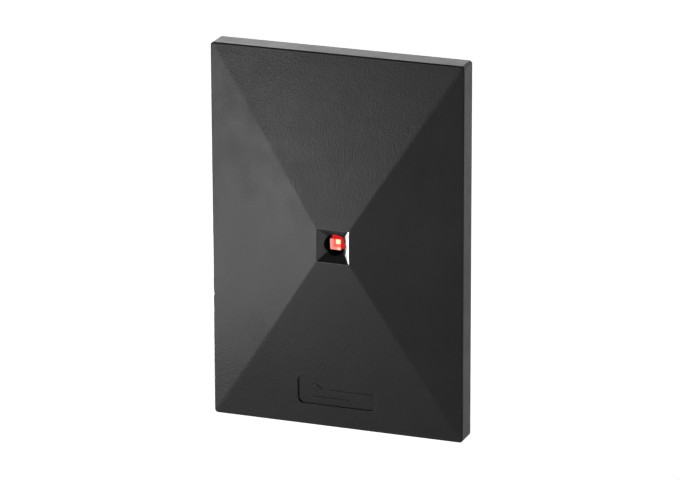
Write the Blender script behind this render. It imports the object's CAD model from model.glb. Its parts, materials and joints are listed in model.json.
"""A wall-mounted RFID card reader, dressed and lit: faceted black cover, red light pipe, and the
board, antenna coil and fastenings that show when the cover swings up."""

import json
import math
import random

import bpy
from mathutils import Matrix, Vector


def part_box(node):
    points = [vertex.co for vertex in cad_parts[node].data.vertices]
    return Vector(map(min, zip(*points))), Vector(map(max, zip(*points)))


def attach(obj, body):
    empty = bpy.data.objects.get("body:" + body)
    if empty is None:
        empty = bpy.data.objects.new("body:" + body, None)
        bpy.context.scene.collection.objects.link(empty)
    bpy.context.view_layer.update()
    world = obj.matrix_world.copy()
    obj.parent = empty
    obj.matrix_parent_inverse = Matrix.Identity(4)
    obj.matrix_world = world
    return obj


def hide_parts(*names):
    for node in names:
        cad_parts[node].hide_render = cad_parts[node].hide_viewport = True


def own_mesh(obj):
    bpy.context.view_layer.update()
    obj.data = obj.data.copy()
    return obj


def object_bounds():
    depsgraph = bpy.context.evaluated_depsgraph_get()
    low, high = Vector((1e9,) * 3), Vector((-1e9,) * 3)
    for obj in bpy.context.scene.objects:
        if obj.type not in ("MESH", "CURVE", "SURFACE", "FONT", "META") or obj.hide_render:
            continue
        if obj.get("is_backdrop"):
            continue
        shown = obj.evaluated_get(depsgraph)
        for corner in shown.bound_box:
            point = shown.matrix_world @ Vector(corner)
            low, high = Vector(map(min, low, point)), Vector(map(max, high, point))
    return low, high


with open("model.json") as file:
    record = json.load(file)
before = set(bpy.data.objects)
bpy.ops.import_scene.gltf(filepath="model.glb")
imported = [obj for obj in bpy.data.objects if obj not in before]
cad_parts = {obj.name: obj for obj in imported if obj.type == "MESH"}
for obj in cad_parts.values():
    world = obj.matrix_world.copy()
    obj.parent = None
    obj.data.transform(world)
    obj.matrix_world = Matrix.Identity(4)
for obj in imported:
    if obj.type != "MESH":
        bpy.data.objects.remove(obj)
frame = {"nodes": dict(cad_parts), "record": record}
CAD_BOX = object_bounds()

MM = 0.001
random.seed(20)

# ---- the reader's own dimensions, as its CAD has them (metres) ----

RIM_TOP = 8.0 * MM
COVER_WALL = 1.8 * MM
CORNER_RADIUS = 1.0 * MM
EDGE_RADIUS = 0.4 * MM
FUNNEL_MOUTH = 9.8 * MM
FUNNEL_SLOPE = 0.92
FUNNEL_CUT_DEPTH = 3.2 * MM
BORE_BOSS_RADIUS = 6.6 * MM
BORE_BOSS_BACK = 7.6 * MM
GUSSET_START = 5.5 * MM
GUSSET_END = 14.5 * MM
GUSSET_THICKNESS = 1.0 * MM
GUSSET_BACK = 8.2 * MM
PIPE_BORE_RADIUS = 3.2 * MM
PIPE_SIDE = 3.2 * MM
PIPE_FRONT = 9.1 * MM
PIPE_FOOT_FRONT = 5.9 * MM
LAMP_POCKET = (3.4 * MM, 2.8 * MM, 0.8 * MM)
HOOK_X = 20.0 * MM
HOOK_WIDTH = 8.0 * MM
HOOK_BACK = 2.2 * MM
HOOK_FRONT = 3.4 * MM
HOOK_TIP = 52.6 * MM
LOCK_AXIS_Z = 3.4 * MM
LOCK_HOLE_RADIUS = 1.6 * MM
NAMEPLATE_WIDTH = 23.7 * MM
NAMEPLATE_HEIGHT = 8.5 * MM
NAMEPLATE_RADIUS = 1.6 * MM
NAMEPLATE_DEPTH = 0.6 * MM
NAMEPLATE_Y = -45.2 * MM
NAMEPLATE_BARS = (
    # left, right, bottom, top
    (-2.2 * MM, 10.4 * MM, -0.6 * MM, 0.6 * MM),
    (-7.6 * MM, 3.6 * MM, -2.5 * MM, -1.9 * MM),
)
LOZENGE_SIDE = 2.2 * MM
LOZENGE_PLACE = (-6.8 * MM, 0.7 * MM)
COIL_THICKNESS = 2.6 * MM
COIL_RADIUS = 6.0 * MM
# how far a cutter runs past the wall it cuts, and a rib into the wall that carries it
OVERCUT = 1.0 * MM
ROOT = 0.4 * MM

# ---- details of this model's own, which the CAD leaves out or has a little otherwise (metres) ----

HIP_RADIUS = 0.35 * MM
FUNNEL_LIP = 0.12 * MM
FUNNEL_CORNER = 0.15 * MM
CAVITY_CORNER = 0.8 * MM
NAMEPLATE_MARK_RISE = 0.16 * MM
LOZENGE_STRETCH = 1.5
COIL_WIRE_PITCH = 0.43 * MM
COIL_WIRE_RADIUS = 0.21 * MM
SPRING_WIRE_RADIUS = 0.17 * MM
SPRING_END_RISE = 0.36 * MM
SPRING_TURNS = 4.5
GULL_WING_SECTIONS = (
    # how far out of the package, and the lead's underside and top there (mm)
    (-0.1, 0.55, 0.75), (0.3, 0.55, 0.72), (0.5, 0.12, 0.25), (0.95, 0.0, 0.16),
)
CHIP_LENGTH = 1.6 * MM
CHIP_WIDTH = 0.8 * MM
CHIP_HEIGHT = 0.5 * MM
CHIP_CAP = 0.35 * MM
CHIP_CAP_RISE = 0.02 * MM
CHIP_EASE = 0.05 * MM
TRACK_WIDTH = 0.3 * MM
TRACK_RISE = 0.03 * MM
PAD_RADIUS = 0.45 * MM
PRINT_WIDTH = 0.18 * MM
PRINT_RISE = 0.05 * MM
PRINT_MARGIN = 0.45 * MM
USUAL_EDGE_EASE = 0.08 * MM
EDGE_EASE = {"base_housing": 0.15 * MM, "coil_tape_1": 0.05 * MM}

# ---- what is on the board ----

TRANSISTOR_BLOCKS = (
    # blocks as BLOCK_PARTS has them
    (0, 0, 2.9, 1.4, 0.1, 1.0, 0), (-0.95, -0.95, 0.4, 0.8, 0, 0.25, 1),
    (0.95, -0.95, 0.4, 0.8, 0, 0.25, 1), (0, 0.95, 0.4, 0.8, 0, 0.25, 1),
)
BLOCK_PARTS = {
    # node: slot, then blocks as centre x, y, width, height, bottom, top from the board (mm), and their paint:
    # 0 is the slot's own finish and 1 is bare metal
    "voltage_regulator": ("black_epoxy", (
        (0, 0.55, 6.4, 6.0, 0.05, 2.2, 0), (0, 3.95, 5.2, 1.6, 0, 0.5, 1),
        (-2.3, -3.45, 0.8, 2.6, 0, 0.4, 1), (2.3, -3.45, 0.8, 2.6, 0, 0.4, 1))),
    "surge_suppressor": ("black_epoxy", (
        (0, 0, 4.4, 3.6, 0.15, 2.2, 0), (-2.2, 0, 1.2, 2.0, 0, 1.2, 1), (2.2, 0, 1.2, 2.0, 0, 1.2, 1),
        (-1.5, 0, 0.5, 3.4, 2.1, 2.21, 1))),
    "output_transistor_1": ("black_epoxy", TRANSISTOR_BLOCKS),
    "output_transistor_2": ("black_epoxy", TRANSISTOR_BLOCKS),
    "tamper_switch": ("black_epoxy", (
        (0, 0, 8.0, 6.4, 0.05, 1.7, 0), (0, 0, 7.6, 6.0, 1.6, 2.4, 1),
        (-4.4, -2, 1.4, 0.8, 0, 0.3, 1), (-4.4, 2, 1.4, 0.8, 0, 0.3, 1),
        (4.4, -2, 1.4, 0.8, 0, 0.3, 1), (4.4, 2, 1.4, 0.8, 0, 0.3, 1))),
    "crystal": ("can_metal", (
        (0, 0, 5.0, 3.2, 0, 0.35, 0), (0, 0, 4.6, 2.8, 0.3, 1.2, 0))),
}

SMALL_CHIP_ROWS = (
    # first x, first y, step x, step y, count, whether they stand upright (mm)
    (-21.5, 20.5, 0.0, -2.4, 5, False),
    (-5.5, 20.0, 0.0, -2.4, 6, False),
    (-19.5, 27.0, 2.6, 0.0, 5, True),
    (-9.5, -1.5, 0.0, -2.2, 5, False),
    (-4.0, -9.5, 2.6, 0.0, 4, True),
    (12.0, 10.0, 2.4, 0.0, 5, True),
    (24.0, -2.0, 0.0, -2.6, 5, False),
)

TRACES = (
    # each trace's corners (mm)
    ((-29, 11), (-29, 4), (-25, 0)),
    ((-29, 2), (-28, -5), (-25, -8)),
    ((-21, -2), (-19, -4), (-18, -4)),
    ((-21, -8.5), (-19, -7), (-18, -7)),
    ((-9, 16), (-5, 16), (2, 9), (2, 2)),
    ((-9, 13), (-5, 13), (0, 8), (0, 2)),
    ((-9, 10), (-4, 10), (-2, 8), (-2, 2)),
    ((-12, -4), (-6, -4), (-4, -6), (-4, -13)),
    ((-12, -7), (-8, -7), (-6, -9), (-6, -13)),
    ((14, 0), (8, 0), (4, -4), (4, -13)),
    ((15, -11), (10, -11), (6, -13), (6, -14)),
    ((18, 6), (18, 9), (14, 13)),
    ((25, 12), (25, -12), (21, -16)),
    ((-24, 26), (-24, 13), (-19, 8)),
    ((-6, 24), (4, 24), (7, 21)),
    ((23, -24), (27, -20), (27, 18), (19, 26)),
)

OUTLINED_PARTS = (
    "microcontroller", "rf_front_end", "voltage_regulator", "buzzer", "tamper_switch", "filter_choke",
    "surge_suppressor", "smoothing_capacitor", "tuning_capacitor_1", "tuning_capacitor_2", "crystal",
)

# ---- colours of the light in the pipe ----

PIPE_SIDE_GLOW = (0.34, 0.012, 0.014)
PIPE_FACE_GLOW = (0.58, 0.12, 0.09)
PIPE_EDGE_GLOW = (0.95, 0.31, 0.27)
PIPE_CORNER_GLOW = (1.0, 0.80, 0.55)

# ---- camera, floor and light ----

CAMERA_AZIMUTH = math.radians(20.5)
CAMERA_ELEVATION = math.radians(18.1)
CAMERA_ROLL = math.radians(-0.2)
CAMERA_DISTANCE = 1.36
CAMERA_LENS = 251.5
CAMERA_AIM = Vector((-0.0020, 0.0, -0.0017))
FLOOR_DROP = 0.90
GLOW_START = 1.6
GLOW_FULL = 2.8
FLOOR_GLOW = 0.26
BACKDROP_GLOW = 0.73
WORLD_GLOW = 0.02


def make_camera():
    back = Vector((
        math.sin(CAMERA_AZIMUTH) * math.cos(CAMERA_ELEVATION),
        -math.cos(CAMERA_AZIMUTH) * math.cos(CAMERA_ELEVATION),
        math.sin(CAMERA_ELEVATION),
    ))
    right = Vector((0, 0, 1)).cross(back).normalized()
    up = back.cross(right)
    turned_right = right * math.cos(CAMERA_ROLL) + up * math.sin(CAMERA_ROLL)
    turned_up = up * math.cos(CAMERA_ROLL) - right * math.sin(CAMERA_ROLL)
    data = bpy.data.cameras.new("camera")
    data.lens = CAMERA_LENS
    data.sensor_width = 36
    data.clip_start = 0.01
    data.clip_end = 50
    camera = bpy.data.objects.new("camera", data)
    bpy.context.scene.collection.objects.link(camera)
    turn = Matrix((turned_right, turned_up, back)).transposed()
    camera.matrix_world = Matrix.Translation(CAMERA_AIM + back * CAMERA_DISTANCE) @ turn.to_4x4()
    bpy.context.scene.camera = camera


SOFTBOXES = (
    # name, place (m), width, height (m), watts, spread (degrees); each faces the reader
    ("close_left_softbox", (-0.25, -0.36, -0.10), 0.14, 0.14, 0.45, 180),
    ("near_high_softbox", (-0.11, -0.22, -0.01), 0.06, 0.06, 0.057, 180),
    ("near_low_softbox", (-0.083, -0.20, -0.124), 0.06, 0.06, 0.008, 180),
    ("left_grazing_softbox", (-0.34, -0.058, -0.108), 0.03, 0.03, 0.0125, 12),
    ("rear_top_softbox", (-0.30, 1.40, 0.50), 0.6, 0.4, 0.82, 180),
    ("rear_left_softbox", (-0.75, 1.25, 0.42), 0.4, 0.4, 1.43, 180),
)


def soft_light(name, place, width, height, watts, spread):
    data = bpy.data.lights.new(name, "AREA")
    data.shape = "RECTANGLE"
    data.size = width
    data.size_y = height
    data.energy = watts
    data.spread = math.radians(spread)
    light = bpy.data.objects.new(name, data)
    bpy.context.scene.collection.objects.link(light)
    light.location = place
    light.rotation_euler = (-Vector(place)).to_track_quat("-Z", "Y").to_euler()
    light.visible_camera = False


def make_lights():
    for softbox in SOFTBOXES:
        soft_light(*softbox)


def make_world():
    world = bpy.data.worlds.new("studio")
    world.use_nodes = True
    background = world.node_tree.nodes["Background"]
    background.inputs["Color"].default_value = (1, 1, 1, 1)
    background.inputs["Strength"].default_value = WORLD_GLOW
    bpy.context.scene.world = world


def pale_stage_material():
    """A pale floor that glows towards its far left, behind the reader, as a lit backdrop does."""
    material = bpy.data.materials.new("pale_floor")
    material.use_nodes = True
    nodes = material.node_tree.nodes
    links = material.node_tree.links
    shader = nodes["Principled BSDF"]
    shader.inputs["Base Color"].default_value = (0.9, 0.9, 0.9, 1)
    shader.inputs["Roughness"].default_value = 0.9
    shader.inputs["Emission Color"].default_value = (1, 1, 1, 1)
    place = nodes.new("ShaderNodeTexCoord").outputs["Object"]
    split = nodes.new("ShaderNodeSeparateXYZ")
    links.new(place, split.inputs["Vector"])
    behind_left = nodes.new("ShaderNodeMath")
    behind_left.operation = "SUBTRACT"
    links.new(split.outputs["Y"], behind_left.inputs[0])
    links.new(split.outputs["X"], behind_left.inputs[1])
    glow = nodes.new("ShaderNodeMapRange")
    glow.inputs["From Min"].default_value = GLOW_START
    glow.inputs["From Max"].default_value = GLOW_FULL
    glow.inputs["To Min"].default_value = FLOOR_GLOW
    glow.inputs["To Max"].default_value = BACKDROP_GLOW
    links.new(behind_left.outputs[0], glow.inputs["Value"])
    links.new(glow.outputs["Result"], shader.inputs["Emission Strength"])
    return material


def make_floor():
    """A pale round sweep: flat under the reader, curving up all round it, and highest behind it."""
    middle = 0.4
    bend_start = 2.8
    bend_radius = 1.0
    side_wall = 0.1
    back_wall = 2.0
    sides = 96
    steps = 12
    profile = [(middle, 0.0), (bend_start, 0.0)]
    for step in range(1, steps + 1):
        angle = math.pi / 2 * step / steps
        profile.append((bend_start + bend_radius * math.sin(angle), bend_radius * (1 - math.cos(angle))))
    points = [point for reach, z in profile for point in circle(reach, z - FLOOR_DROP, sides=sides)]
    for x, y, z in points[-sides:]:
        points.append((x, y, z + side_wall + back_wall * max(0, y) / (bend_start + bend_radius)))
    faces = [tuple(reversed(range(sides)))]
    for low in range(0, len(points) - sides, sides):
        for i in range(sides):
            j = (i + 1) % sides
            faces.append((low + i, low + sides + i, low + sides + j, low + j))
    mesh = bpy.data.meshes.new("floor")
    mesh.from_pydata(points, [], faces)
    for face in mesh.polygons:
        face.use_smooth = True
    floor = bpy.data.objects.new("floor", mesh)
    bpy.context.scene.collection.objects.link(floor)
    mesh.materials.append(pale_stage_material())
    floor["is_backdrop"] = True


# ---- materials ----


class Finish:
    """A node material under construction, in the reader's own metres."""

    def __init__(self, name, color, roughness, metallic=0.0):
        self.material = bpy.data.materials.new(name)
        self.material.use_nodes = True
        self.nodes = self.material.node_tree.nodes
        self.links = self.material.node_tree.links
        self.shader = self.nodes["Principled BSDF"]
        self.shader.inputs["Base Color"].default_value = (*color, 1)
        self.shader.inputs["Roughness"].default_value = roughness
        self.shader.inputs["Metallic"].default_value = metallic
        self.place = self.nodes.new("ShaderNodeTexCoord").outputs["Object"]
        self.bump_input = None

    def node(self, kind, **settings):
        made = self.nodes.new(kind)
        for key, value in settings.items():
            setattr(made, key, value)
        return made

    def join(self, output, target):
        self.links.new(output, target)

    def noise(self, size, detail=3.0, stretch=(1, 1, 1)):
        """Noise whose patches are about size metres across; stretch draws it out along an axis."""
        mapping = self.node("ShaderNodeMapping")
        mapping.inputs["Scale"].default_value = [1 / factor for factor in stretch]
        self.join(self.place, mapping.inputs["Vector"])
        texture = self.node("ShaderNodeTexNoise")
        texture.inputs["Scale"].default_value = 1 / size
        texture.inputs["Detail"].default_value = detail
        self.join(mapping.outputs["Vector"], texture.inputs["Vector"])
        return texture.outputs["Fac"]

    def cells(self, size):
        """Rounded cells about size metres apart, for a stippled mould texture."""
        texture = self.node("ShaderNodeTexVoronoi", feature="SMOOTH_F1")
        texture.inputs["Scale"].default_value = 1 / size
        self.join(self.place, texture.inputs["Vector"])
        return texture.outputs["Distance"]

    def spread(self, value, low, high, from_low=0.3, from_high=0.7):
        """Maps a texture value onto a plain range of numbers."""
        remap = self.node("ShaderNodeMapRange")
        remap.inputs["From Min"].default_value = from_low
        remap.inputs["From Max"].default_value = from_high
        remap.inputs["To Min"].default_value = low
        remap.inputs["To Max"].default_value = high
        self.join(value, remap.inputs["Value"])
        return remap.outputs["Result"]

    def mix(self, factor, first, second):
        """Colour mix; first and second are colours or colour outputs."""
        blend = self.node("ShaderNodeMix", data_type="RGBA")
        self.join(factor, blend.inputs["Factor"])
        for value, socket in ((first, blend.inputs[6]), (second, blend.inputs[7])):
            if isinstance(value, bpy.types.NodeSocket):
                self.join(value, socket)
            else:
                socket.default_value = (*value, 1)
        return blend.outputs[2]

    def math(self, operation, first, second):
        """One sum; first and second are numbers or value outputs."""
        made = self.node("ShaderNodeMath", operation=operation)
        for value, socket in zip((first, second), made.inputs):
            if isinstance(value, bpy.types.NodeSocket):
                self.join(value, socket)
            else:
                socket.default_value = value
        return made.outputs[0]

    def bump(self, height, depth):
        """Adds relief; depth is the height in metres that a value of 1 stands for."""
        relief = self.node("ShaderNodeBump")
        relief.inputs["Strength"].default_value = 1
        relief.inputs["Distance"].default_value = depth
        self.join(height, relief.inputs["Height"])
        if self.bump_input is not None:
            self.join(self.bump_input, relief.inputs["Normal"])
        self.bump_input = relief.outputs["Normal"]
        self.join(self.bump_input, self.shader.inputs["Normal"])

    def color(self, output):
        self.join(output, self.shader.inputs["Base Color"])

    def roughness(self, output):
        self.join(output, self.shader.inputs["Roughness"])

    def edge_wear(self, reach):
        """1 on outside and inside edges, 0 on flat faces, from how far a rounded normal turns."""
        rounded = self.node("ShaderNodeBevel", samples=4)
        rounded.inputs["Radius"].default_value = reach
        geometry = self.node("ShaderNodeNewGeometry")
        dot = self.node("ShaderNodeVectorMath", operation="DOT_PRODUCT")
        self.join(rounded.outputs["Normal"], dot.inputs[0])
        self.join(geometry.outputs["Normal"], dot.inputs[1])
        return self.spread(dot.outputs["Value"], 1, 0, 0.75, 0.995)


def cover_plastic():
    """Black moulded plastic with a fine stippled mould texture."""
    finish = Finish("cover_plastic", (0.02, 0.02, 0.021), 0.42)
    tone = finish.spread(finish.noise(0.02, 4), 0, 1)
    plain = finish.mix(tone, (0.017, 0.017, 0.0175), (0.023, 0.023, 0.024))
    finish.color(finish.mix(finish.edge_wear(0.0004), plain, (0.03, 0.03, 0.031)))
    finish.roughness(finish.spread(finish.noise(0.006, 3), 0.32, 0.38))
    finish.shader.inputs["Specular IOR Level"].default_value = 0.3
    finish.bump(finish.cells(0.00045), 0.000032)
    finish.bump(finish.noise(0.0003, 2), 0.00001)
    return finish.material


def funnel_plastic():
    """Black plastic without the stipple, and more reflective, for the funnel's walls."""
    finish = Finish("funnel_plastic", (0.008, 0.008, 0.0085), 0.42)
    finish.roughness(finish.spread(finish.noise(0.002, 3), 0.39, 0.45))
    finish.shader.inputs["IOR"].default_value = 1.65
    finish.shader.inputs["Specular IOR Level"].default_value = 1
    finish.bump(finish.noise(0.003, 2), 0.00001)
    return finish.material


def simple(name, color, roughness, metallic=0.0):
    """One colour in slightly uneven tones, with a fine grain."""
    grain = 0.4 * MM
    relief = 0.01 * MM
    finish = Finish(name, color, roughness, metallic)
    tone = finish.spread(finish.noise(0.008, 4), 0, 1)
    darker = [channel * 0.85 for channel in color]
    lighter = [min(1, channel * 1.12) for channel in color]
    finish.color(finish.mix(tone, darker, lighter))
    finish.roughness(finish.spread(finish.noise(0.002, 3), max(0.05, roughness - 0.06), roughness + 0.06))
    finish.bump(finish.noise(grain, 3), relief)
    return finish.material


def red_lens():
    """Clear red moulded plastic; the light it carries shows along two edges of its front face."""
    finish = Finish("red_lens", (0.95, 0.10, 0.08), 0.05)
    finish.shader.inputs["Transmission Weight"].default_value = 1
    finish.shader.inputs["IOR"].default_value = 1.49
    split = finish.node("ShaderNodeSeparateXYZ")
    finish.join(finish.place, split.inputs["Vector"])
    across, depth, up = split.outputs
    half = PIPE_SIDE / 2
    left = finish.spread(across, 1, 0, -half + 0.6 * MM, -half + 1.2 * MM)
    right = finish.spread(across, 0, 1, half - 1.2 * MM, half - 0.5 * MM)
    bottom = finish.spread(up, 1, 0, -half + 0.5 * MM, -half + 1.1 * MM)
    front = finish.spread(depth, 1, 0, -PIPE_FRONT, -PIPE_FRONT + 0.12 * MM)
    face = finish.mix(finish.math("MAXIMUM", left, bottom), PIPE_FACE_GLOW, PIPE_EDGE_GLOW)
    face = finish.mix(finish.math("MULTIPLY", right, bottom), face, PIPE_CORNER_GLOW)
    finish.join(finish.mix(front, PIPE_SIDE_GLOW, face), finish.shader.inputs["Emission Color"])
    finish.shader.inputs["Emission Strength"].default_value = 1
    finish.bump(finish.noise(0.0012, 2), 0.000004)
    return finish.material


def glowing(name, color, strength):
    """A lit surface, a little uneven."""
    finish = Finish(name, color, 0.4)
    tone = finish.spread(finish.noise(0.0004, 2), 0.85, 1)
    finish.shader.inputs["Emission Color"].default_value = (*color, 1)
    finish.join(finish.math("MULTIPLY", tone, strength), finish.shader.inputs["Emission Strength"])
    return finish.material


FUNNEL_PLASTIC = funnel_plastic()
INSIDE_PLASTIC = simple("inside_plastic", (0.016, 0.016, 0.017), 0.5)
LED_DIE = glowing("led_die", (1.0, 0.8, 0.5), 14)
LEAD_METAL = simple("lead_metal", (0.6, 0.6, 0.61), 0.32, 1.0)
CERAMIC = simple("ceramic", (0.32, 0.22, 0.13), 0.5)
PRINT_WHITE = simple("print_white", (0.7, 0.7, 0.66), 0.6)
TRACK_GREEN = simple("track_green", (0.03, 0.14, 0.06), 0.3)

MATERIALS = {
    "cover_plastic": cover_plastic(),
    "base_plastic": simple("base_plastic", (0.02, 0.02, 0.021), 0.5),
    "label_paper": simple("label_paper", (0.72, 0.72, 0.70), 0.6),
    "black_rubber": simple("black_rubber", (0.012, 0.012, 0.012), 0.8),
    "board_laminate": simple("board_laminate", (0.012, 0.07, 0.03), 0.35),
    "copper_wire": simple("copper_wire", (0.45, 0.14, 0.05), 0.3, 0.8),
    "amber_tape": simple("amber_tape", (0.45, 0.2, 0.02), 0.3),
    "red_lens": red_lens(),
    "led_package": simple("led_package", (0.8, 0.77, 0.68), 0.5),
    "black_epoxy": simple("black_epoxy", (0.012, 0.012, 0.014), 0.55),
    "can_metal": simple("can_metal", (0.6, 0.6, 0.61), 0.3, 1.0),
    "tantalum_case": simple("tantalum_case", (0.55, 0.28, 0.02), 0.45),
    "ferrite": simple("ferrite", (0.03, 0.03, 0.032), 0.65),
    "fuse_green": simple("fuse_green", (0.05, 0.19, 0.08), 0.45),
    "film_blue": simple("film_blue", (0.03, 0.08, 0.25), 0.35),
    "white_nylon": simple("white_nylon", (0.75, 0.73, 0.65), 0.45),
    "steel": simple("steel", (0.55, 0.56, 0.57), 0.3, 1.0),
    "brass": simple("brass", (0.6, 0.38, 0.12), 0.3, 1.0),
}


def dress_cad_nodes():
    """Gives every CAD node its finish, and eases the edges of those that stay in view."""
    for entry in frame["record"]["subparts"]:
        node = frame["nodes"][entry["node"]]
        node.data.materials.clear()
        node.data.materials.append(MATERIALS[entry["material_slot"]])
        node.data.shade_smooth()
        node.modifiers.new("weld", "WELD").merge_threshold = 1e-6
        bevel = node.modifiers.new("ease", "BEVEL")
        bevel.limit_method = "ANGLE"
        bevel.angle_limit = math.radians(40)
        bevel.width = EDGE_EASE.get(entry["node"], USUAL_EDGE_EASE)
        bevel.segments = 2
        node.modifiers.new("even_shading", "WEIGHTED_NORMAL").weight = 100


# ---- shapes ----
#
# Shapes are drawn in bench axes, in metres: the reader lies on its back, x runs to its right, y to its
# top and z out of the wall. stand() turns a bench point into the frame, where -Y is the front.


def stand(point):
    x, y, z = point
    return Vector((x, -z, y))


def bench_box(node):
    """A CAD node's lowest and highest corners in bench axes."""
    low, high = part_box(node)
    return Vector((low.x, low.z, -high.y)), Vector((high.x, high.z, -low.y))


def ring(width, height, radius, z, x=0.0, y=0.0, steps=4):
    """A rounded rectangle's points, anticlockwise seen from the front."""
    points = []
    for quarter, (side_x, side_y) in enumerate(((1, -1), (1, 1), (-1, 1), (-1, -1))):
        for step in range(steps + 1):
            angle = (quarter - 1 + step / steps) * math.pi / 2
            points.append((
                x + side_x * (width / 2 - radius) + radius * math.cos(angle),
                y + side_y * (height / 2 - radius) + radius * math.sin(angle),
                z,
            ))
    return points


def circle(radius, z, x=0.0, y=0.0, sides=24):
    """A circle's points, anticlockwise seen from the front."""
    turn = 2 * math.pi / sides
    return [(x + radius * math.cos(i * turn), y + radius * math.sin(i * turn), z) for i in range(sides)]


class Shape:
    """Points and faces gathered in bench axes, each face with the number of its material."""

    def __init__(self):
        self.points = []
        self.faces = []
        self.paints = []

    def face(self, corners, paint):
        self.faces.append(tuple(corners))
        self.paints.append(paint)

    def loft(self, rings, paint=0, closed=False):
        """Skins a row of rings that run from back to front; closed joins the last ring to the first."""
        start = len(self.points)
        count = len(rings[0])
        for points in rings:
            self.points.extend(points)
        spans = len(rings) if closed else len(rings) - 1
        for span in range(spans):
            low = start + span * count
            high = start + (span + 1) % len(rings) * count
            for i in range(count):
                j = (i + 1) % count
                self.face((low + i, low + j, high + j, high + i), paint)
        if not closed:
            self.face(reversed(range(start, start + count)), paint)
            self.face(range(start + (len(rings) - 1) * count, start + len(rings) * count), paint)

    def slab(self, low, high, corner=0.15 * MM, edge=0.1 * MM, paint=0, steps=2):
        """A block between two opposite corners, with rounded sides and eased front and back edges."""
        width, height = high[0] - low[0], high[1] - low[1]
        x, y = (low[0] + high[0]) / 2, (low[1] + high[1]) / 2
        sections = ((edge, low[2]), (0, low[2] + edge), (0, high[2] - edge), (edge, high[2]))
        self.loft([
            ring(width - 2 * inset, height - 2 * inset, max(corner - inset, edge / 4), z, x, y, steps)
            for inset, z in sections
        ], paint)

    def turned(self, profile, x=0.0, y=0.0, sides=24, paint=0):
        """A round piece standing on the bench, from (radius, z) pairs that run from back to front."""
        self.loft([circle(radius, z, x, y, sides) for radius, z in profile], paint)

    def tube(self, path, radius, sides=6, paint=0, closed=False):
        """A round wire along a path that lies more or less flat on the bench."""
        rings = []
        for i, point in enumerate(path):
            after = path[(i + 1) % len(path)] if closed or i + 1 < len(path) else point
            before = path[i - 1] if closed or i > 0 else point
            along = (Vector(after) - Vector(before)).normalized()
            side = along.cross(Vector((0, 0, 1))).normalized()
            over = side.cross(along)
            turn = 2 * math.pi / sides
            rings.append([
                Vector(point) + (side * math.cos(k * turn) + over * math.sin(k * turn)) * radius
                for k in range(sides)
            ])
        self.loft([list(reversed(points)) for points in rings], paint, closed)

    def make(self, name, *materials):
        mesh = bpy.data.meshes.new(name)
        mesh.from_pydata([stand(point) for point in self.points], [], self.faces)
        for material in materials:
            mesh.materials.append(material)
        mesh.polygons.foreach_set("material_index", self.paints)
        made = bpy.data.objects.new(name, mesh)
        bpy.context.scene.collection.objects.link(made)
        return made


def crisp(piece, degrees=35):
    """Smooth shading on rounded parts that leaves flat faces flat and corners sharp."""
    piece.data.shade_smooth()
    piece.data.set_sharp_from_angle(angle=math.radians(degrees))
    weighted = piece.modifiers.new("even_shading", "WEIGHTED_NORMAL")
    weighted.keep_sharp = True


def fit_in(piece, body, slot, *nodes):
    """Gives a finished piece its body, its material slot and the CAD nodes it stands for."""
    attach(piece, body)
    if nodes:
        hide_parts(*nodes)


def carve(piece, operation, tool):
    """Joins or cuts a solid tool into a piece for good, and removes the tool."""
    modifier = piece.modifiers.new("carve", "BOOLEAN")
    modifier.operation = operation
    modifier.solver = "EXACT"
    modifier.material_mode = "TRANSFER"
    modifier.object = tool
    evaluated = piece.evaluated_get(bpy.context.evaluated_depsgraph_get())
    carved = bpy.data.meshes.new_from_object(evaluated)
    piece.modifiers.clear()
    piece.data = carved
    bpy.data.objects.remove(tool)


# ---- cover ----

COVER_LOW, COVER_HIGH = bench_box("front_cover")
WIDTH = COVER_HIGH.x - COVER_LOW.x
HEIGHT = COVER_HIGH.y - COVER_LOW.y
COVER_BACK = COVER_LOW.z
FRONT = COVER_HIGH.z


def cover_outside():
    """The solid outer form: rim wall, rounded edge and four facets that rise to the funnel's mouth."""
    ease = 0.12 * MM
    sections = [(ease, COVER_BACK), (0, COVER_BACK + ease)]
    edge_steps = 7
    corner_steps = 8
    for step in range(edge_steps + 1):
        angle = math.pi / 2 * step / edge_steps
        inset = EDGE_RADIUS * (1 - math.cos(angle))
        sections.append((inset, RIM_TOP - EDGE_RADIUS * (1 - math.sin(angle))))
    rings = [
        ring(WIDTH - 2 * inset, HEIGHT - 2 * inset, CORNER_RADIUS, z, steps=corner_steps)
        for inset, z in sections
    ]
    rings.append(ring(FUNNEL_MOUTH, FUNNEL_MOUTH, HIP_RADIUS, FRONT, steps=corner_steps))
    shape = Shape()
    shape.loft(rings)
    return shape


def cover_cavity():
    """The hollow behind the facets, one wall's thickness inside them, with an eased front edge."""
    wide, high = WIDTH - 2 * COVER_WALL, HEIGHT - 2 * COVER_WALL
    ease = 0.3 * MM
    ease_length = 0.4 * MM
    shape = Shape()
    shape.loft([
        ring(wide, high, CAVITY_CORNER, COVER_BACK - OVERCUT),
        ring(wide, high, CAVITY_CORNER, RIM_TOP - COVER_WALL - ease_length),
        ring(wide - 2 * ease, high - 2 * ease, CAVITY_CORNER, RIM_TOP - COVER_WALL),
        ring(FUNNEL_MOUTH, FUNNEL_MOUTH, CAVITY_CORNER / 2, FRONT - COVER_WALL),
    ])
    return shape


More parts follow.
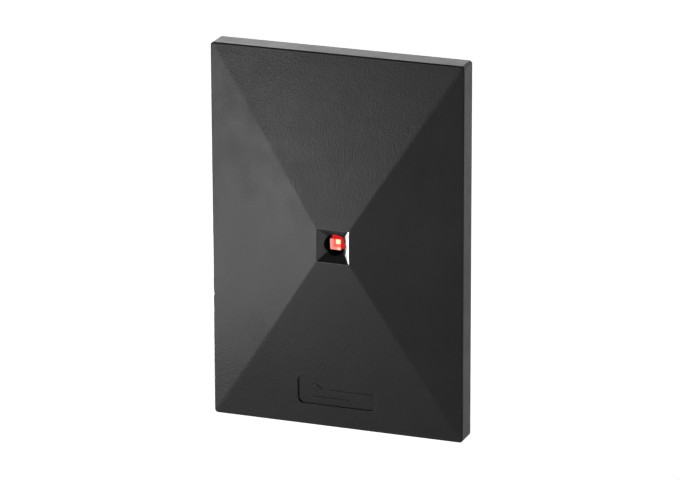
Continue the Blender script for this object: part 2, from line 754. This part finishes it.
def cover_ribs():
    """The bore's boss, the ribs that stiffen it, and the two hooks, each a solid of its own."""
    inside = FRONT - COVER_WALL
    ease = 0.1 * MM
    boss = Shape()
    boss.turned([
        (BORE_BOSS_RADIUS - ease, BORE_BOSS_BACK),
        (BORE_BOSS_RADIUS, BORE_BOSS_BACK + ease),
        (BORE_BOSS_RADIUS, inside + ROOT),
    ], sides=64)
    yield boss
    half_thickness = GUSSET_THICKNESS / 2
    for quarter in range(4):
        angle = math.radians(45 + 90 * quarter)
        gusset = Shape()
        gusset.slab((GUSSET_START, -half_thickness, GUSSET_BACK),
                    (GUSSET_END, half_thickness, inside + ROOT / 2))
        gusset.points = [
            (x * math.cos(angle) - y * math.sin(angle), x * math.sin(angle) + y * math.cos(angle), z)
            for x, y, z in gusset.points
        ]
        yield gusset
    hook_root = HEIGHT / 2 - COVER_WALL + ROOT
    for side in (-1, 1):
        left = side * HOOK_X - HOOK_WIDTH / 2
        hook = Shape()
        hook.slab((left, HOOK_TIP, HOOK_BACK), (left + HOOK_WIDTH, hook_root, HOOK_FRONT), edge=0.2 * MM)
        yield hook


def funnel_cutter():
    """A square funnel whose lip eases over into the facets."""
    def half(z):
        return FUNNEL_MOUTH / 2 + (z - FRONT) / FUNNEL_SLOPE

    mouth = FUNNEL_MOUTH / 2
    sections = (
        (half(FRONT - FUNNEL_CUT_DEPTH), FRONT - FUNNEL_CUT_DEPTH),
        (half(FRONT - FUNNEL_LIP), FRONT - FUNNEL_LIP),
        (mouth + FUNNEL_LIP / 6, FRONT - FUNNEL_LIP / 3),
        (mouth + FUNNEL_LIP, FRONT),
        (mouth + FUNNEL_LIP, FRONT + OVERCUT),
    )
    shape = Shape()
    shape.loft([ring(2 * reach, 2 * reach, FUNNEL_CORNER, z, steps=3) for reach, z in sections])
    return shape


def bore_cutter():
    """The round bore from the funnel's bottom through the boss."""
    shape = Shape()
    shape.turned([(PIPE_BORE_RADIUS, BORE_BOSS_BACK - OVERCUT), (PIPE_BORE_RADIUS, FRONT)], sides=64)
    return shape


def lock_hole_cutter():
    """A round hole through the bottom wall, drawn upright and then laid along y."""
    shape = Shape()
    length = COVER_WALL + 2 * OVERCUT
    shape.turned([(LOCK_HOLE_RADIUS, 0), (LOCK_HOLE_RADIUS, length)], sides=32)
    bottom = -HEIGHT / 2 - OVERCUT
    shape.points = [(x, bottom + z, LOCK_AXIS_Z - y) for x, y, z in shape.points]
    return shape


def onto_bottom_facet(shape):
    """Lays a shape drawn on the z = 0 plane onto the bottom facet, at the nameplate's place."""
    run = HEIGHT / 2 - EDGE_RADIUS - FUNNEL_MOUTH / 2
    rise = FRONT - RIM_TOP
    slope = math.atan2(rise, run)
    surface = RIM_TOP + rise * (NAMEPLATE_Y + HEIGHT / 2 - EDGE_RADIUS) / run
    shape.points = [
        (x, NAMEPLATE_Y + y * math.cos(slope) - z * math.sin(slope),
         surface + y * math.sin(slope) + z * math.cos(slope))
        for x, y, z in shape.points
    ]
    return shape


def nameplate_cutter():
    """The recess's rounded outline, with an eased lip and a rounded corner round its floor."""
    floor = -NAMEPLATE_DEPTH
    # how far outside the outline, and the height over the facet
    sections = (
        (-0.16 * MM, floor), (-0.06 * MM, floor + 0.04 * MM), (0, floor + 0.14 * MM),
        (0, -0.12 * MM), (0.04 * MM, -0.04 * MM), (0.14 * MM, 0), (0.14 * MM, 0.5 * MM),
    )
    shape = Shape()
    shape.loft([
        ring(NAMEPLATE_WIDTH + 2 * grow, NAMEPLATE_HEIGHT + 2 * grow, NAMEPLATE_RADIUS + grow, z, steps=6)
        for grow, z in sections
    ])
    return onto_bottom_facet(shape)


def nameplate_marks():
    """A plain lozenge and two plain bars, raised a little from the recess's floor."""
    bottom = -NAMEPLATE_DEPTH - 0.1 * MM
    top = -NAMEPLATE_DEPTH + NAMEPLATE_MARK_RISE
    ease = 0.06 * MM
    for left, right, low, high in NAMEPLATE_BARS:
        bar = Shape()
        bar.slab((left, low, bottom), (right, high, top), edge=ease)
        yield onto_bottom_facet(bar)
    half = LOZENGE_SIDE / 2
    lozenge = Shape()
    lozenge.slab((-half, -half, bottom), (half, half, top), edge=ease)
    eighth_turn = math.sqrt(0.5)
    shift_x, shift_y = LOZENGE_PLACE
    lozenge.points = [
        ((x - y) * eighth_turn * LOZENGE_STRETCH + shift_x, (x + y) * eighth_turn + shift_y, z)
        for x, y, z in lozenge.points
    ]
    yield onto_bottom_facet(lozenge)


def make_cover():
    """One moulding: its walls are carved from the solid outer form, and its inside isn't grained."""
    grained = MATERIALS["cover_plastic"]
    cover = cover_outside().make("cover_shell", grained)
    carve(cover, "DIFFERENCE", cover_cavity().make("cavity", INSIDE_PLASTIC))
    for rib in cover_ribs():
        carve(cover, "UNION", rib.make("rib", INSIDE_PLASTIC))
    carve(cover, "DIFFERENCE", funnel_cutter().make("funnel", FUNNEL_PLASTIC))
    carve(cover, "DIFFERENCE", bore_cutter().make("bore", INSIDE_PLASTIC))
    carve(cover, "DIFFERENCE", lock_hole_cutter().make("lock_hole", grained))
    carve(cover, "DIFFERENCE", nameplate_cutter().make("nameplate", grained))
    for mark in nameplate_marks():
        carve(cover, "UNION", mark.make("mark", grained))
    crisp(cover)
    fit_in(cover, "cover", "cover_plastic", "front_cover")


# ---- light pipe and its lamp ----


def hide_from_bounces(piece):
    """Keeps a bright piece's light out of reflections and diffuse bounces, where it only makes specks."""
    piece.visible_diffuse = False
    piece.visible_glossy = False


def make_light_pipe():
    """A square rod of clear red plastic on a wider foot, which is hollow over the lamp."""
    low, high = bench_box("light_pipe")
    lens = MATERIALS["red_lens"]
    foot = Shape()
    foot.slab(low, (high.x, high.y, PIPE_FOOT_FRONT), corner=0.4 * MM, edge=0.12 * MM, steps=4)
    pipe = foot.make("light_pipe_rod", lens)
    rod = Shape()
    half = PIPE_SIDE / 2
    rod_back = PIPE_FOOT_FRONT - 0.3 * MM
    rod.slab((-half, -half, rod_back), (half, half, high.z), corner=0.22 * MM, steps=4)
    carve(pipe, "UNION", rod.make("rod", lens))
    width, height, depth = LAMP_POCKET
    pocket = Shape()
    pocket.slab((-width / 2, -height / 2, low.z - OVERCUT), (width / 2, height / 2, low.z + depth))
    carve(pipe, "DIFFERENCE", pocket.make("pocket", lens))
    crisp(pipe, 50)
    hide_from_bounces(pipe)
    fit_in(pipe, "base", "red_lens", "light_pipe")


def make_led():
    """A white package round a square well, with the glowing die at its bottom."""
    low, high = bench_box("led")
    shape = Shape()
    shape.slab(low, (high.x, high.y, low.z + 0.35 * MM), corner=0.2 * MM, edge=0.05 * MM)
    body, well_top, well_bottom = 2.0 * MM, 1.7 * MM, 1.4 * MM
    shape.loft([
        ring(body, body, 0.2 * MM, low.z + 0.3 * MM),
        ring(body, body, 0.2 * MM, high.z),
        ring(well_top, well_top, 0.3 * MM, high.z),
        ring(well_bottom, well_bottom, 0.3 * MM, high.z - 0.15 * MM),
    ])
    die_x, die_y = 0.8 * MM, 0.65 * MM
    die_low = (-die_x, -die_y, high.z - 0.2 * MM)
    die_high = (die_x, die_y, high.z - 0.1 * MM)
    shape.slab(die_low, die_high, corner=0.1 * MM, edge=0.02 * MM, paint=1)
    led = shape.make("led_package", MATERIALS["led_package"], LED_DIE)
    crisp(led)
    hide_from_bounces(led)
    fit_in(led, "base", "led_package", "led")


# ---- antenna coil ----


def make_coil():
    """The wound bundle: rows of enamelled wire that follow the same rounded rectangle."""
    low, high = bench_box("antenna_coil")
    width, height = high.x - low.x, high.y - low.y
    rows = int((high.z - low.z) / COIL_WIRE_PITCH)
    columns = int(COIL_THICKNESS / COIL_WIRE_PITCH)
    shape = Shape()
    for row in range(rows):
        for column in range(columns):
            inset = (column + 0.5) * COIL_WIRE_PITCH + random.uniform(-0.05, 0.05) * MM
            z = low.z + (row + 0.5) * COIL_WIRE_PITCH + random.uniform(-0.04, 0.04) * MM
            path = ring(width - 2 * inset, height - 2 * inset, COIL_RADIUS - inset, z, steps=5)
            shape.tube(path, COIL_WIRE_RADIUS, closed=True)
    coil = shape.make("coil_windings", MATERIALS["copper_wire"])
    crisp(coil, 80)
    fit_in(coil, "base", "copper_wire", "antenna_coil")


# ---- parts on the board ----


def board_front():
    return bench_box("circuit_board")[1].z


def make_chip(node, body_half, four_sided=False, leads=8, pitch=0.95 * MM, lead=0.38 * MM):
    """A moulded package with gull-wing leads and a raised dot by its first lead."""
    low, high = bench_box(node)
    centre = (low + high) / 2
    half_x, half_y = body_half
    shape = Shape()
    shape.slab((centre.x - half_x, centre.y - half_y, low.z + 0.15 * MM),
               (centre.x + half_x, centre.y + half_y, high.z), corner=0.2 * MM, edge=0.18 * MM)
    dot_inset = 0.9 * MM
    dot_profile = ((0.35 * MM, -0.05 * MM), (0.35 * MM, 0.02 * MM), (0.3 * MM, 0.03 * MM))
    shape.turned([(radius, high.z + rise) for radius, rise in dot_profile],
                 centre.x - half_x + dot_inset, centre.y + half_y - dot_inset, sides=16)
    for index in range(leads):
        along = (index - (leads - 1) / 2) * pitch
        for side in (-1, 1):
            add_gull_wing(shape, centre.x + side * half_x, centre.y + along, side, 0, low.z, lead)
            if four_sided:
                add_gull_wing(shape, centre.x + along, centre.y + side * half_y, 0, side, low.z, lead)
    chip = shape.make(node + "_package", MATERIALS["black_epoxy"], LEAD_METAL)
    crisp(chip)
    fit_in(chip, "base", "black_epoxy", node)


def add_gull_wing(shape, x, y, out_x, out_y, bottom, width):
    """One lead: out of the package, down, and out along the board."""
    side_x, side_y = abs(out_y) * width / 2, abs(out_x) * width / 2
    rings = []
    for along, low, top in GULL_WING_SECTIONS:
        place_x = x + out_x * along * MM
        place_y = y + out_y * along * MM
        corners = ((-1, low), (1, low), (1, top), (-1, top))
        rings.append([
            (place_x + side * side_x, place_y + side * side_y, bottom + height * MM)
            for side, height in corners
        ])
    # these two directions would turn the lead inside out
    if out_x > 0 or out_y < 0:
        rings.reverse()
    shape.loft(rings, paint=1)


def make_capped_part(node, slot, cap):
    """A chip component: a moulded body with a metal cap folded round each end."""
    low, high = bench_box(node)
    shape = Shape()
    inset = 0.1 * MM
    shape.slab((low.x + inset, low.y + inset, low.z + inset),
               (high.x - inset, high.y - inset, high.z - 0.03 * MM), corner=0.2 * MM, edge=0.15 * MM)
    cap_low, cap_high = low.y + 0.5 * MM, high.y - 0.5 * MM
    for left, right in ((low.x, low.x + cap), (high.x - cap, high.x)):
        shape.slab((left, cap_low, low.z), (right, cap_high, high.z), corner=0.1 * MM, paint=1)
    part = shape.make(node + "_part", MATERIALS[slot], LEAD_METAL)
    crisp(part)
    fit_in(part, "base", slot, node)


def add_small_chip(shape, x, y, z, upright, body):
    """A resistor or capacitor on its two pads: its moulded body, then a metal cap over each end."""
    def block(start, end, half_width, height, paint):
        low, high = (start, -half_width), (end, half_width)
        if upright:
            low, high = (-half_width, start), (half_width, end)
        shape.slab((x + low[0], y + low[1], z), (x + high[0], y + high[1], z + height),
                   CHIP_EASE, CHIP_EASE, paint=paint)

    tip = CHIP_LENGTH / 2
    block(-tip, tip, CHIP_WIDTH / 2, CHIP_HEIGHT, body)
    cap_half_width = CHIP_WIDTH / 2 + CHIP_CAP_RISE
    cap_height = CHIP_HEIGHT + CHIP_CAP_RISE
    block(-tip - CHIP_CAP_RISE, -tip + CHIP_CAP, cap_half_width, cap_height, 2)
    block(tip - CHIP_CAP, tip + CHIP_CAP_RISE, cap_half_width, cap_height, 2)


def make_block_parts():
    """The small components whose shape is a few moulded or folded blocks."""
    for node, (slot, blocks) in BLOCK_PARTS.items():
        low, high = bench_box(node)
        middle = (low + high) / 2
        shape = Shape()
        for x, y, width, height, bottom, top, paint in blocks:
            left = middle.x + (x - width / 2) * MM
            below = middle.y + (y - height / 2) * MM
            shape.slab((left, below, low.z + bottom * MM),
                       (left + width * MM, below + height * MM, low.z + top * MM),
                       0.12 * MM, 0.06 * MM, paint=paint)
        part = shape.make(node + "_part", MATERIALS[slot], LEAD_METAL)
        crisp(part)
        fit_in(part, "base", slot, node)


def make_buzzer():
    """A round can with a sunk face, a raised collar and the sound hole in its middle."""
    low, high = bench_box("buzzer")
    x, y = (low.x + high.x) / 2, (low.y + high.y) / 2
    profile = ((5.4, 0), (5.6, 0.2), (5.6, 2.7), (5.45, 2.93), (5.2, 3.0), (4.8, 3.0), (4.7, 2.85),
               (1.7, 2.85), (1.6, 3.0), (1.0, 3.0), (0.9, 2.9), (0.9, 1.5))
    shape = Shape()
    shape.turned([(radius * MM, low.z + z * MM) for radius, z in profile], x, y, sides=48)
    pad_x, pad_half_width, pad_half_height, pad_rise = 5.8 * MM, 0.7 * MM, 1.5 * MM, 0.4 * MM
    for side in (-1, 1):
        middle = x + side * pad_x
        shape.slab((middle - pad_half_width, y - pad_half_height, low.z),
                   (middle + pad_half_width, y + pad_half_height, low.z + pad_rise), paint=1)
    buzzer = shape.make("buzzer_can", MATERIALS["black_epoxy"], LEAD_METAL)
    crisp(buzzer)
    fit_in(buzzer, "base", "black_epoxy", "buzzer")


def make_choke():
    """A drum core: two flanges with a waist of copper wire between them."""
    low, high = bench_box("filter_choke")
    x, y = (low.x + high.x) / 2, (low.y + high.y) / 2
    shape = Shape()
    shape.slab(low, (high.x, high.y, low.z + 0.6 * MM), corner=1 * MM, steps=5)
    for turn in range(4):
        z = low.z + (0.8 + 0.38 * turn) * MM
        shape.tube(circle(2.6 * MM, z, x, y, 28), 0.2 * MM, paint=1, closed=True)
    core_radius = 2.5 * MM
    shape.turned([(core_radius, low.z + 0.5 * MM), (core_radius, low.z + 2.1 * MM)], x, y, sides=28)
    inset = 0.1 * MM
    shape.slab((low.x + inset, low.y + inset, low.z + 2 * MM), (high.x - inset, high.y - inset, high.z),
               corner=1.4 * MM, edge=0.15 * MM, steps=6)
    choke = shape.make("filter_choke_core", MATERIALS["ferrite"], MATERIALS["copper_wire"])
    crisp(choke)
    fit_in(choke, "base", "ferrite", "filter_choke")


def make_tamper_spring():
    """A compression spring with closed end turns, which shortens as the plunger comes in."""
    low, high = bench_box("tamper_spring")
    x, y = (low.x + high.x) / 2, (low.y + high.y) / 2
    wire = SPRING_WIRE_RADIUS
    radius = (high.x - low.x) / 2 - wire
    length = high.z - low.z
    rise = length - 2 * wire
    # each stop: how many turns along the wire, and how far up
    stops = ((0, 0), (1, SPRING_END_RISE), (SPRING_TURNS - 1, rise - SPRING_END_RISE), (SPRING_TURNS, rise))
    steps_per_turn = 20
    path = []
    for (first_turn, first_rise), (last_turn, last_rise) in zip(stops, stops[1:]):
        steps = round((last_turn - first_turn) * steps_per_turn)
        for step in range(steps):
            turn = first_turn + (last_turn - first_turn) * step / steps
            height = first_rise + (last_rise - first_rise) * step / steps
            angle = 2 * math.pi * turn
            path.append((x + radius * math.cos(angle), y + radius * math.sin(angle), low.z + wire + height))
    shape = Shape()
    shape.tube(path, wire, sides=8)
    spring = shape.make("tamper_spring_coil", MATERIALS["steel"])
    crisp(spring, 80)
    fit_in(spring, "base", "steel", "tamper_spring")
    stand((x, y, high.z))
    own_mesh(spring)


def make_board_screws():
    """Pan-head screws with a cross recess."""
    for number in range(1, 5):
        node = f"board_screw_{number}"
        low, high = bench_box(node)
        x, y = (low.x + high.x) / 2, (low.y + high.y) / 2
        seat = high.z - 1.25 * MM
        # radius (mm) and height (m)
        profile = ((0.8, low.z), (0.8, seat), (1.85, seat), (1.9, seat + 0.06 * MM), (1.9, seat + 0.5 * MM),
                   (1.72, seat + 0.85 * MM), (1.3, seat + 1.1 * MM), (0.7, seat + 1.22 * MM), (0.2, high.z))
        head = Shape()
        head.turned([(radius * MM, z) for radius, z in profile], x, y, sides=32)
        screw = head.make(f"board_screw_{number}_head", MATERIALS["steel"])
        for half_x, half_y in ((1.15 * MM, 0.24 * MM), (0.24 * MM, 1.15 * MM)):
            slot = Shape()
            slot.loft([
                ring(1.2 * half_x, 1.2 * half_y, 0.05 * MM, seat + 0.5 * MM, x, y),
                ring(2 * half_x, 2 * half_y, 0.1 * MM, high.z + 0.2 * MM, x, y),
            ])
            carve(screw, "DIFFERENCE", slot.make("slot", MATERIALS["steel"]))
        crisp(screw, 30)
        fit_in(screw, "base", "steel", node)


def make_grommet():
    """A rubber lining for the cable opening, with a flange over its inner edge and rounded lips."""
    low, high = bench_box("cable_grommet")
    x, y = (low.x + high.x) / 2, (low.y + high.y) / 2
    width, height = high.x - low.x, high.y - low.y
    flange = high.z - 0.8 * MM
    # outwards and forwards round the section: how far in from the flange's rim (mm), and the height (m)
    section = ((1.7, low.z), (1.7, flange), (0.1, flange), (0, flange + 0.1 * MM), (0, high.z - 0.3 * MM),
               (0.3, high.z), (3.2, high.z), (3.5, high.z - 0.3 * MM), (3.5, low.z + 0.2 * MM), (3.3, low.z))
    shape = Shape()
    shape.loft([
        ring(width - 2 * inset * MM, height - 2 * inset * MM, (4.5 - inset) * MM, z, x, y, steps=6)
        for inset, z in section
    ], closed=True)
    grommet = shape.make("grommet_lining", MATERIALS["black_rubber"])
    crisp(grommet)
    fit_in(grommet, "base", "black_rubber", "cable_grommet")


def make_small_parts():
    """Rows of small resistors, black, and capacitors, brown, in a seeded mix."""
    z = board_front() + 0.02 * MM
    shape = Shape()
    for first_x, first_y, step_x, step_y, count, upright in SMALL_CHIP_ROWS:
        for index in range(count):
            x = (first_x + index * step_x) * MM
            y = (first_y + index * step_y) * MM
            add_small_chip(shape, x, y, z, upright, random.choice((0, 1)))
    parts = shape.make("small_chips", MATERIALS["black_epoxy"], CERAMIC, LEAD_METAL)
    crisp(parts)
    fit_in(parts, "base", "black_epoxy")


def make_traces():
    """Copper tracks under the solder mask, each a low strip, with a round pad of bare metal at both ends."""
    z = board_front()
    shape = Shape()
    for corners in TRACES:
        path = [Vector((x * MM, y * MM, 0)) for x, y in corners]
        for start, end in zip(path, path[1:]):
            add_strip(shape, start, end, TRACK_WIDTH, z, z + TRACK_RISE)
        for spot in (path[0], path[-1]):
            shape.turned([(PAD_RADIUS, z), (PAD_RADIUS, z + 0.04 * MM), (0.2 * MM, z + 0.045 * MM)],
                         spot.x, spot.y, sides=16, paint=1)
    traces = shape.make("board_tracks", TRACK_GREEN, LEAD_METAL)
    fit_in(traces, "base", "board_laminate")


def make_silkscreen():
    """White outlines printed round the larger components."""
    z = board_front()
    shape = Shape()
    for node in OUTLINED_PARTS:
        low, high = bench_box(node)
        left, right = low.x - PRINT_MARGIN, high.x + PRINT_MARGIN
        bottom, top = low.y - PRINT_MARGIN, high.y + PRINT_MARGIN
        corners = [Vector((x, y, 0)) for x, y in ((left, bottom), (right, bottom), (right, top), (left, top))]
        for index, start in enumerate(corners):
            add_strip(shape, start, corners[(index + 1) % 4], PRINT_WIDTH, z, z + PRINT_RISE)
    print_layer = shape.make("board_print", PRINT_WHITE)
    fit_in(print_layer, "base", "label_paper")


def add_strip(shape, start, end, width, low, high):
    """A flat strip between two points, a little longer at both ends so that corners close."""
    along = (end - start).normalized()
    side = Vector((along.y, -along.x, 0)) * width / 2
    start = start - along * width * 0.4
    end = end + along * width * 0.4
    corners = [start - side, start + side, end + side, end - side]
    outline = [(corner.x, corner.y) for corner in corners]
    if (corners[1] - corners[0]).cross(corners[2] - corners[1]).z < 0:
        outline.reverse()
    shape.loft([[(x, y, z) for x, y in outline] for z in (low, high)])


make_camera()
make_lights()
make_world()
make_floor()
dress_cad_nodes()
make_cover()
make_light_pipe()
make_led()
make_coil()
make_chip("microcontroller", (4.5 * MM, 4.5 * MM), four_sided=True)
make_chip("rf_front_end", (2.1 * MM, 5.0 * MM), leads=7, pitch=1.27 * MM, lead=0.45 * MM)
make_capped_part("smoothing_capacitor", "tantalum_case", 1.3 * MM)
make_capped_part("tuning_capacitor_1", "film_blue", 0.7 * MM)
make_capped_part("tuning_capacitor_2", "film_blue", 0.7 * MM)
make_capped_part("resettable_fuse", "fuse_green", 0.6 * MM)
make_block_parts()
make_buzzer()
make_choke()
make_tamper_spring()
make_board_screws()
make_grommet()
make_small_parts()
make_traces()
make_silkscreen()

bpy.context.scene.view_settings.view_transform = "Standard"


def plain(box):
    return [list(corner) for corner in box]


{"cad": plain(CAD_BOX), "visual": plain(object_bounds())}
